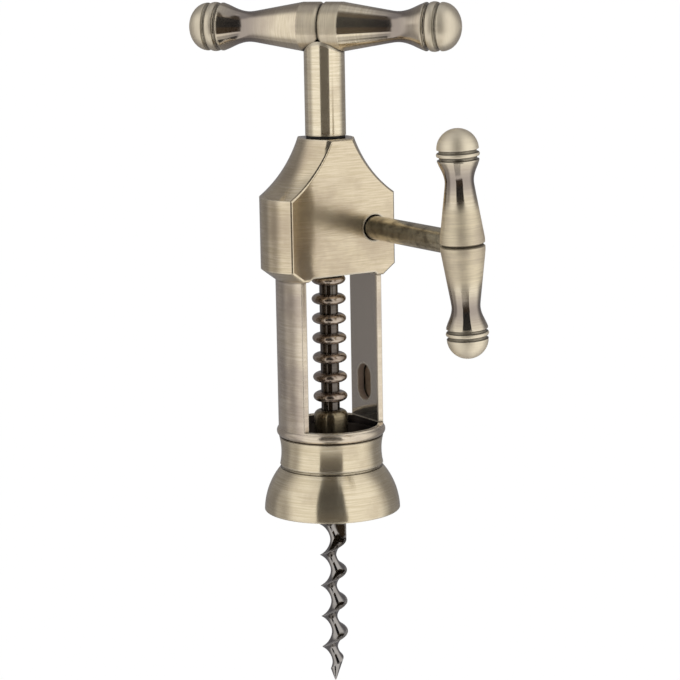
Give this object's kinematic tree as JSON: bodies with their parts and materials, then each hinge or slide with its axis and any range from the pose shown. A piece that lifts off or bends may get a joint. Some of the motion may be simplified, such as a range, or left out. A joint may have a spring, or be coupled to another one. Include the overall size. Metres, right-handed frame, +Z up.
{
  "type": "corkscrew",
  "caption": "Rack and pinion corkscrew: a turning bar drives the worm, and a side handle on the pinion lifts the ringed rack out of an open barrel with a bell foot.",
  "frame": {"origin": "on the worm's axis, in the plane of the bell's rim", "axes": "+Z up along the worm and rack, -Y towards the side handle, which is the housing's flat front, +X towards the pinion"},
  "size_m": [0.0622, 0.1009, 0.2191],
  "materials": {
    "housing_brass": "antique brass, fine horizontal brushing",
    "barrel_brass": "antique brass, turned and brushed",
    "bell_brass": "antique brass, turned and brushed",
    "bar_brass": "antique brass, turned, dark in the grooves",
    "side_handle_brass": "antique brass, turned, dark in the grooves",
    "stem_brass": "antique brass, brushed",
    "shaft_brass": "antique brass, mottled and darker",
    "cover_brass": "antique brass, brushed",
    "rack_bronze": "dark bronzed rings over a darker core",
    "bush_bronze": "plain bearing bronze",
    "gear_steel": "machined steel",
    "pin_steel": "plain steel",
    "socket_brass": "antique brass, turned and darker",
    "worm_steel": "polished steel",
    "washer_black": "black fibre"
  },
  "bodies": {
    "frame": {"gear_housing": "housing_brass", "barrel_frame": "barrel_brass", "leg_pins": "pin_steel", "bell": "bell_brass", "front_bush": "bush_bronze", "rear_bush": "bush_bronze", "rear_cover": "cover_brass"},
    "washer": {"stem_washer": "washer_black"},
    "spindle": {"rack_shaft": "rack_bronze", "handle_stem": "stem_brass", "handle_stud": "pin_steel", "t_handle": "bar_brass", "worm_socket": "socket_brass", "socket_pin": "pin_steel", "worm": "worm_steel"},
    "pinion": {"pinion_gear": "gear_steel", "pinion_washers": "bush_bronze", "pinion_shaft": "shaft_brass", "pinion_pin": "pin_steel", "side_handle": "side_handle_brass"}
  },
  "joints": [
    {"name": "pinion_turn", "type": "hinge", "parent": "frame", "child": "pinion", "pos_m": [0.01154, 0, 0.0907], "axis": [0, 1, 0], "range_deg": [0, 462.85]},
    {"name": "rack_lift", "type": "slide", "parent": "frame", "child": "washer", "axis": [0, 0, 1], "range_m": [0, 0.05655]},
    {"name": "spindle_turn", "type": "hinge", "parent": "washer", "child": "spindle", "pos_m": [0, 0, 0.1196], "axis": [0, 0, 1], "continuous": true}
  ],
  "couplings": [
    {"joint": "rack_lift", "follows": "pinion_turn", "m_per_rad": 0.007}
  ]
}
